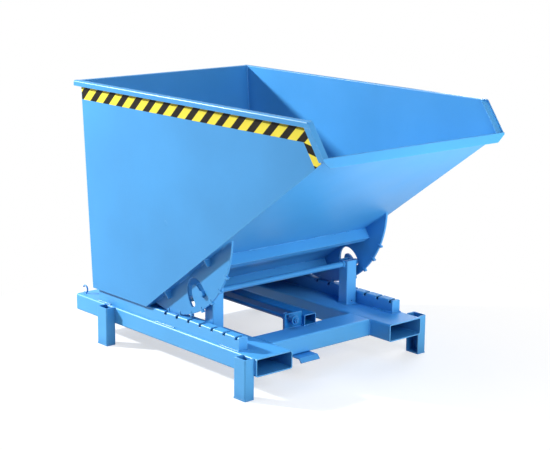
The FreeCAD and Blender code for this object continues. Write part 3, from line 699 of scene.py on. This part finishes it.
class SKIP_OT_stage(bpy.types.Operator):
    """Camera, lamps, pale floor and white room"""
    bl_idname = "skip.stage"
    bl_label = "Stage"

    def execute(self, context):
        stage = context.scene.skip_stage
        context.scene.view_settings.view_transform = "Standard"
        self.camera(context, stage)
        for name, setting, place, size in LAMPS:
            self.lamp(name, place, CAMERA_TARGET, getattr(stage, setting), size)
        board = self.lamp("floor board", BOARD_PLACE, BOARD_PLACE + UP, stage.board, BOARD_SIZE)
        board.visible_glossy = False
        self.room(context, stage)
        self.floor()
        return {"FINISHED"}

    def camera(self, context, stage):
        deselect()
        bpy.ops.object.camera_add()
        camera = context.object
        camera.name = "camera"
        azimuth, elevation, roll = stage.azimuth, stage.elevation, stage.roll
        away = math.cos(elevation)
        back = Vector((math.sin(azimuth) * away, -math.cos(azimuth) * away, math.sin(elevation)))
        right = Vector((math.cos(azimuth), math.sin(azimuth), 0))
        top = back.cross(right)
        turned_right = right * math.cos(roll) + top * math.sin(roll)
        turned_top = top * math.cos(roll) - right * math.sin(roll)
        turn = Matrix((turned_right, turned_top, back)).transposed().to_4x4()
        camera.matrix_world = Matrix.Translation(CAMERA_TARGET + back * stage.distance) @ turn
        camera.data.sensor_fit = "HORIZONTAL"
        camera.data.sensor_width = SENSOR_WIDTH
        camera.data.lens = stage.lens
        context.scene.camera = camera

    def lamp(self, name, place, target, power, size):
        deselect()
        bpy.ops.object.light_add(type="AREA", location=place)
        lamp = bpy.context.object
        lamp.name = name
        lamp.data.energy = power
        lamp.data.size = size
        lamp.visible_camera = False
        lamp.rotation_euler = (target - Vector(place)).to_track_quat("-Z", "Y").to_euler()
        return lamp

    def room(self, context, stage):
        world = bpy.data.worlds.new("white room")
        world.use_nodes = True
        tree = world.node_tree
        tree.nodes.clear()
        strength = mix_values(tree, seen_ray(tree), stage.room, 1.0)
        light = node(tree, "ShaderNodeBackground", {"Color": (1, 1, 1, 1), "Strength": strength})
        node(tree, "ShaderNodeOutputWorld", {"Surface": light.outputs[0]})
        context.scene.world = world

    def floor(self):
        deselect()
        bpy.ops.mesh.primitive_plane_add(size=FLOOR_SIZE)
        floor = bpy.context.object
        floor.name = "floor"
        material, tree = new_material("pale floor")
        place = object_place(tree)
        away = node(tree, "ShaderNodeVectorMath", {0: place}, operation="LENGTH")
        far = to_range(tree, away.outputs["Value"], FADE_START, FADE_END)
        cast = spread_noise(tree, place, scale=5.0, detail=4.0)
        seen = seen_ray(tree)
        grey = mix_colours(tree, cast, FLOOR_DARK, FLOOR_PALE)
        grey = mix_colours(tree, seen, FLOOR_BOUNCE, grey)
        matt = node(tree, "ShaderNodeBsdfDiffuse", {"Color": grey})
        glow = node(tree, "ShaderNodeEmission", {
            "Strength": math_node(tree, "MULTIPLY", seen, FLOOR_GLOW)})
        close = node(tree, "ShaderNodeAddShader", {0: matt.outputs[0], 1: glow.outputs[0]})
        white = node(tree, "ShaderNodeEmission", {"Strength": 1.0})
        white_share = math_node(tree, "MULTIPLY", far, seen)
        finish_material(tree, node(tree, "ShaderNodeMixShader", {
            0: white_share, 1: close.outputs[0], 2: white.outputs[0]}))
        floor.data.materials.append(material)


class SKIP_OT_paint_skip(bpy.types.Operator):
    """Blue coat on the skip's sheets, folds and rockers"""
    bl_idname = "skip.paint_skip"
    bl_label = "Paint skip"

    def execute(self, context):
        blue = context.scene.skip_paint.blue
        coat(SHEET_NODES, blue_paint("sheet_paint", blue, wave=0.004, sheen=0.12))
        coat(FOLD_NODES, blue_paint(
            "fold_paint", blue, peel=0.00003, roughness=0.31, sheen=0.02, open_at=0.40))
        coat(ROCKER_NODES, blue_paint("plate_paint", blue, peel=0.00014, roughness=0.36, sheen=0.25))
        return {"FINISHED"}


class SKIP_OT_paint_frame(bpy.types.Operator):
    """Blue coat on the frame's sections, fittings and release, with painted light on the sections and
    painted shade on the release, and zinc on its pins
    """
    bl_idname = "skip.paint_frame"
    bl_label = "Paint frame"

    def execute(self, context):
        paint = context.scene.skip_paint
        # Painted light: the sections take the lighter copy of the blue
        coat(SECTION_NODES, blue_paint("section_paint", paint.lit_frame_blue, wave=0.0006, sheen=0.10))
        coat(FITTING_NODES, blue_paint(
            "fitting_paint", paint.blue, peel=0.00006, roughness=0.30, sheen=0.20))
        # Painted shade: the release takes the darker copy of the blue
        coat(RELEASE_NODES, blue_paint("release_paint", paint.shaded_release_blue, roughness=0.30, sheen=0.06))
        coat(PIN_NODES, zinc_steel("zinc_pins"))
        return {"FINISHED"}


class SKIP_OT_hazard_tape(bpy.types.Operator):
    """Striped hazard tape under the side rims"""
    bl_idname = "skip.hazard_tape"
    bl_label = "Hazard tape"

    def execute(self, context):
        coat(("hazard_tape_right",), hazard_tape_material("tape_right", towards_lip=1.0))
        coat(("hazard_tape_left",), hazard_tape_material("tape_left", towards_lip=-1.0))
        return {"FINISHED"}


class SKIP_OT_return_spring(bpy.types.Operator):
    """Wound spring on the release rod"""
    bl_idname = "skip.return_spring"
    bl_label = "Return spring"

    def execute(self, context):
        spring = context.scene.skip_spring
        low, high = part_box("return_spring")
        radius = (high.y - low.y - spring.wire) / 2
        rise = high.x - low.x - spring.wire
        deselect()
        bpy.ops.mesh.primitive_circle_add(
            vertices=SPRING_CORNERS, radius=spring.wire / 2, fill_type="NOTHING")
        piece = context.object
        piece.name = piece.data.name = "wound_spring"
        edit_all()
        bpy.ops.transform.rotate(value=math.pi / 2, orient_axis="X", center_override=(0, 0, 0))
        bpy.ops.transform.translate(value=(radius, 0, 0))
        bpy.ops.object.mode_set(mode="OBJECT")
        wind = piece.modifiers.new("wind", "SCREW")
        wind.angle = 2 * math.pi * spring.turns
        wind.screw_offset = rise
        wind.steps = wind.render_steps = spring.steps
        apply_modifier(piece, "wind")
        edit_all()
        bpy.ops.mesh.remove_doubles(threshold=SPRING_MERGE)
        bpy.ops.mesh.fill_holes(sides=0)
        bpy.ops.mesh.normals_make_consistent(inside=False)
        bpy.ops.object.mode_set(mode="OBJECT")
        rod_y, rod_z = (low.y + high.y) / 2, (low.z + high.z) / 2
        seat = Vector((low.x + spring.wire / 2, rod_y, rod_z))
        # The wire is wound along Z, and the rod lies along X
        along_rod = Matrix(((0, 0, 1), (1, 0, 0), (0, 1, 0))).to_4x4()
        settle(piece, Matrix.Translation(seat) @ along_rod)
        bpy.ops.object.shade_smooth_by_angle(angle=SPRING_SMOOTH)
        # Painted shade: the spring takes the darker copy of the blue
        piece.data.materials.append(blue_paint(
            "spring_paint", context.scene.skip_paint.shaded_release_blue, roughness=0.26))
        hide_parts("return_spring")
        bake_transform(piece)
        return {"FINISHED"}


class SKIP_OT_rail_welds(bpy.types.Operator):
    """Stitch welds along the feet of the roll rails"""
    bl_idname = "skip.rail_welds"
    bl_label = "Rail welds"

    def execute(self, context):
        leg = context.scene.skip_weld.rail_leg
        for name, side in SIDES:
            weld_piece(f"rail_welds_{name}", self.rail(name, side, leg), "frame")
        return {"FINISHED"}

    def rail(self, name, side, leg):
        low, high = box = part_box(f"roll_rail_{name}")
        length = high.x - low.x
        rows = (
            (outer_y(box, side), side, RAIL_OUTER_STITCHES),
            (inner_y(box, side), -side, RAIL_INNER_STITCHES))
        beads = []
        for y, out, stitches in rows:
            for start, end in stitches:
                first = (low.x + start * length, y, low.z)
                last = (low.x + end * length, y, low.z)
                beads.append(weld_run(first, last, (0, out, 1), leg))
        for x, out in ends(low.x, high.x):
            first = (x, low.y + leg, low.z)
            last = (x, high.y - leg, low.z)
            beads.append(weld_run(first, last, (out, 0, 1), leg * RAIL_END_LEG))
        return beads


class SKIP_OT_frame_welds(bpy.types.Operator):
    """Welds of the cross-members, feet, posts, bushes and centre beam"""
    bl_idname = "skip.frame_welds"
    bl_label = "Frame welds"

    def execute(self, context):
        leg = context.scene.skip_weld.frame_leg
        for name, side in SIDES:
            weld_piece(f"cross_member_welds_{name}", self.cross_members(name, side, leg), "frame")
            weld_piece(f"foot_welds_{name}", self.feet(name, side, leg), "frame")
            weld_piece(f"post_welds_{name}", self.post(name, leg), "frame")
        weld_piece("centre_beam_welds", self.centre_beam(leg), "frame")
        return {"FINISHED"}

    def cross_members(self, name, side, leg):
        y = inner_y(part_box(f"fork_tube_{name}"), side)
        beads = []
        for member in CROSS_MEMBERS:
            low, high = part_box(member)
            for z, out in ((high.z, 1), (low.z, -1)):
                first = (low.x + leg, y, z)
                last = (high.x - leg, y, z)
                beads.append(weld_run(first, last, (0, 0, out), leg * MEMBER_LEG, sink=MEMBER_SINK))
            for x, out in ends(low.x, high.x):
                first = (x, y, low.z + leg)
                last = (x, y, high.z - leg)
                beads.append(weld_run(first, last, (out, -side, 0), leg))
        return beads

    def feet(self, name, side, leg):
        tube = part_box(f"fork_tube_{name}")
        y = outer_y(tube, side)
        margin = FOOT_MARGIN * leg
        beads = []
        for place in ("front", "rear"):
            low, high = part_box(f"foot_{place}_{name}")
            for x, out in ends(low.x, high.x):
                first = (x, y, tube[0].z + margin)
                last = (x, y, tube[1].z - margin)
                beads.append(weld_run(first, last, (out, side, 0), leg * FOOT_LEG))
        return beads

    def post(self, name, leg):
        low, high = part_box(f"post_{name}")
        corners = [(low.x, low.y), (high.x, low.y), (high.x, high.y), (low.x, high.y)]
        middle = Vector(((low.x + high.x) / 2, (low.y + high.y) / 2, 0))
        beads = []
        for one, two in zip(corners, corners[1:] + corners[:1]):
            start, end = Vector((*one, low.z)), Vector((*two, low.z))
            face = (start + end) / 2 - middle
            out = Vector((face.x, face.y, 0)).normalized() + UP
            first, last = start.lerp(end, POST_MARGIN), end.lerp(start, POST_MARGIN)
            beads.append(weld_run(first, last, out, leg))
        bush_low, bush_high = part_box("bar_bushes")
        bar_low, bar_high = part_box("guide_bar")
        bush_radius = (bush_high.z - bush_low.z) / 2
        for y, out in ends(low.y, high.y):
            centre = ((bar_low.x + bar_high.x) / 2, y, (bar_low.z + bar_high.z) / 2)
            beads.append(weld_ring(centre, (0, out, 0), bush_radius, leg * BUSH_LEG))
        return beads

    def centre_beam(self, leg):
        low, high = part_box("centre_beam")
        beads = []
        for member in CROSS_MEMBERS:
            member_low, member_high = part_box(member)
            start, end = max(low.x, member_low.x), min(high.x, member_high.x)
            for y, out in ends(low.y, high.y):
                first = (start + leg, y, low.z)
                last = (end, y, low.z)
                beads.append(weld_run(first, last, (0, out, 1), leg * CENTRE_BEAM_LEG))
        return beads


class SKIP_OT_rocker_welds(bpy.types.Operator):
    """Welds between the rockers, cross-beams and pouring plate"""
    bl_idname = "skip.rocker_welds"
    bl_label = "Rocker welds"

    def execute(self, context):
        leg = context.scene.skip_weld.sheet_leg
        for name, side in SIDES:
            weld_piece(f"rocker_welds_{name}", self.rocker(name, side, leg), "skip")
        weld_piece("cross_beam_welds", self.beams(leg), "skip")
        return {"FINISHED"}

    def rocker(self, name, side, leg):
        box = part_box(f"rocker_{name}")
        first = max(slope_to_x(box[0].x), 0.0)
        length = slope_to_z(box[1].z) - first
        rows = (
            (outer_y(box, side), side, ROCKER_OUTER_STITCHES),
            (inner_y(box, side), -side, ROCKER_INNER_STITCHES))
        beads = []
        for y, out, stitches in rows:
            for start, end in stitches:
                beads.append(weld_run(
                    on_slope(first + start * length) + ACROSS * y,
                    on_slope(first + end * length) + ACROSS * y,
                    off_slope() + ACROSS * out, leg))
        return beads

    def beams(self, leg):
        beads = []
        for name in ("upper_cross_beam", "lower_cross_beam"):
            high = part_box(name)[1]
            foot = on_slope(slope_to_z(high.z))
            y = high.y - leg
            for start, end in BEAM_STITCHES:
                beads.append(weld_run(
                    foot + ACROSS * y * start, foot + ACROSS * y * end,
                    off_slope() + up_slope(), leg))
        return beads


class SKIP_OT_skip_seams(bpy.types.Operator):
    """Seam welds inside the skip, along its sides and its rear corner"""
    bl_idname = "skip.skip_seams"
    bl_label = "Skip seams"

    def execute(self, context):
        leg = context.scene.skip_weld.sheet_leg
        rear_low, rear_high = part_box("rear_wall")
        floor_low, floor_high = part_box("floor_plate")
        pour_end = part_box("pour_plate")[1].x
        sheet = floor_high.z - floor_low.z
        foot = Vector((floor_low.x + sheet, 0, floor_high.z))
        head = Vector((rear_low.x + sheet, 0, rear_high.z - SEAM_TOP_MARGIN))
        inner_knee = on_slope(0.0, -sheet)
        inner_lip = on_slope(slope_to_x(pour_end) - SEAM_LIP_MARGIN, -sheet)
        for name, side in SIDES:
            y = ACROSS * outer_y((floor_low, floor_high), side)
            inwards = -ACROSS * side
            beads = [
                weld_run(foot + y, head + y, inwards + FORWARD, leg),
                weld_run(foot + y, inner_knee + y, inwards + UP, leg),
                weld_run(inner_knee + y, inner_lip + y, inwards - off_slope(), leg)]
            weld_piece(f"side_seams_{name}", beads, "skip")
        across = ACROSS * (floor_high.y - leg)
        weld_piece("rear_seam", [weld_run(foot - across, foot + across, (1, 0, 1), leg)], "skip")
        return {"FINISHED"}


class SKIP_OT_release_welds(bpy.types.Operator):
    """Welds of the rod guides, latch bracket, trigger keeper, rope hook and latch catch"""
    bl_idname = "skip.release_welds"
    bl_label = "Release welds"

    def execute(self, context):
        leg = context.scene.skip_weld.frame_leg * RELEASE_LEG
        beads = self.rod_guides(leg) + self.bracket(leg) + self.keeper(leg) + self.rope_hook(leg)
        weld_piece("fitting_welds", beads, "frame")
        weld_piece("catch_welds", self.catch(leg), "skip")
        return {"FINISHED"}

    def rod_guides(self, leg):
        low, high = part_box("rod_guide_front")
        joints = [(low, high, high.x, 1)]
        low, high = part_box("rod_guide_rear")
        joints += [(low, high, x, out) for x, out in ends(low.x, high.x)]
        beads = []
        for low, high, x, out in joints:
            first = (x, low.y + leg, low.z)
            last = (x, high.y - leg, low.z)
            beads.append(weld_run(first, last, (out, 0, 1), leg))
        return beads

    def bracket(self, leg):
        low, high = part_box("latch_bracket")
        beads = []
        for y, out in ends(low.y, high.y):
            first = (high.x, y, low.z + leg)
            last = (high.x, y, high.z - leg)
            beads.append(weld_run(first, last, (-1, out, 0), leg))
        return beads

    def keeper(self, leg):
        low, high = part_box("trigger_keeper")
        beads = []
        for y, out in ends(low.y, high.y):
            first = (low.x + leg, y, high.z)
            last = (high.x - leg, y, high.z)
            beads.append(weld_run(first, last, (0, out, -1), leg))
        return beads

    def rope_hook(self, leg):
        low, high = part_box("rope_hook")
        middle = (low.y + high.y) / 2
        beads = []
        for y, out in ends(middle - ROPE_HOOK_ASIDE, middle + ROPE_HOOK_ASIDE):
            first = (low.x + ROPE_HOOK_START, y, low.z)
            last = (low.x + ROPE_HOOK_END, y, low.z)
            beads.append(weld_run(first, last, (0, out, 1), leg * ROPE_HOOK_LEG))
        return beads

    def catch(self, leg):
        low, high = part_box("latch_catch")
        x = high.x - CATCH_INSET
        beads = []
        for z, out in ends(low.z, high.z):
            first = (x, low.y + leg, z)
            last = (x, high.y - leg, z)
            beads.append(weld_run(first, last, (-1, 0, out), leg))
        return beads


class SKIP_PT_panel(bpy.types.Panel):
    """Finish of the tipping skip"""
    bl_label = "Tipping skip"
    bl_idname = "SKIP_PT_panel"
    bl_space_type = "VIEW_3D"
    bl_region_type = "UI"
    bl_category = "Skip"

    def draw(self, context):
        for operator in OPERATORS:
            self.layout.operator(operator.bl_idname)


OPERATORS = (
    SKIP_OT_stage, SKIP_OT_paint_skip, SKIP_OT_paint_frame, SKIP_OT_hazard_tape,
    SKIP_OT_return_spring, SKIP_OT_rail_welds, SKIP_OT_frame_welds, SKIP_OT_rocker_welds,
    SKIP_OT_skip_seams, SKIP_OT_release_welds)
SETTINGS = {
    "skip_paint": SkipPaint, "skip_tape": SkipTape, "skip_weld": SkipWeld,
    "skip_spring": SkipSpring, "skip_shape": SkipShape, "skip_stage": SkipStage}


def register():
    for group in SETTINGS.values():
        bpy.utils.register_class(group)
    for name, group in SETTINGS.items():
        setattr(bpy.types.Scene, name, PointerProperty(type=group))
    for operator in OPERATORS:
        bpy.utils.register_class(operator)
    bpy.utils.register_class(SKIP_PT_panel)


def unregister():
    bpy.utils.unregister_class(SKIP_PT_panel)
    for operator in reversed(OPERATORS):
        bpy.utils.unregister_class(operator)
    for name, group in SETTINGS.items():
        delattr(bpy.types.Scene, name)
        bpy.utils.unregister_class(group)


def main():
    register()
    bpy.ops.skip.stage()
    bpy.ops.skip.paint_skip()
    bpy.ops.skip.paint_frame()
    bpy.ops.skip.hazard_tape()
    bpy.ops.skip.return_spring()
    bpy.ops.skip.rail_welds()
    bpy.ops.skip.frame_welds()
    bpy.ops.skip.rocker_welds()
    bpy.ops.skip.skip_seams()
    bpy.ops.skip.release_welds()


if __name__ == "__main__":
    main()
